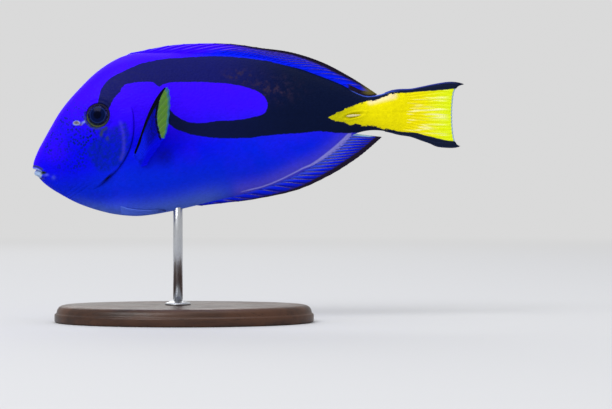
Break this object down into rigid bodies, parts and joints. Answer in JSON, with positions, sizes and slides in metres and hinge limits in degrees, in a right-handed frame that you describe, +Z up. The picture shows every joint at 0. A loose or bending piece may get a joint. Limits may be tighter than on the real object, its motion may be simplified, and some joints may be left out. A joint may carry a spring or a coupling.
{
  "type": "regal blue tang fish, life size, on a display stand",
  "caption": "Life-size regal blue tang with spread fins, a folded tail spine on each side and finned tail, held up by a rod on a flat oval base.",
  "frame": {"origin": "on the floor under the middle of the fish's length, in its plane of symmetry", "axes": "-X is where the head points, -Y is the fish's left side, +Z is up"},
  "size_m": [0.2, 0.072, 0.129],
  "materials": {
    "skin": "moist satin skin, vivid blue with a black palette mark and a yellow wedge",
    "blue_fin": "satin membrane, violet blue with fine rays and a dark margin",
    "pectoral_fin": "satin membrane, dark blue at the root and yellow-green at the tip",
    "yellow_fin": "satin membrane, bright yellow with black upper and lower lobes",
    "spine": "smooth pale bone",
    "eye": "polished dark eye",
    "base": "dark satin wood",
    "rod": "satin steel"
  },
  "bodies": {
    "root": {"head": "skin", "lower_jaw": "skin", "gill_cover_left": "skin", "gill_cover_right": "skin", "trunk": "skin", "tail_stem": "skin", "dorsal_fin": "blue_fin", "anal_fin": "blue_fin", "pelvic_fin_left": "blue_fin", "pelvic_fin_right": "blue_fin", "pectoral_fin_left": "pectoral_fin", "pectoral_fin_right": "pectoral_fin", "tail_fin": "yellow_fin", "scalpel_left": "spine", "scalpel_right": "spine", "eye_left": "eye", "eye_right": "eye", "stand_base": "base", "stand_rod": "rod", "stand_collar": "rod"}
  },
  "joints": []
}
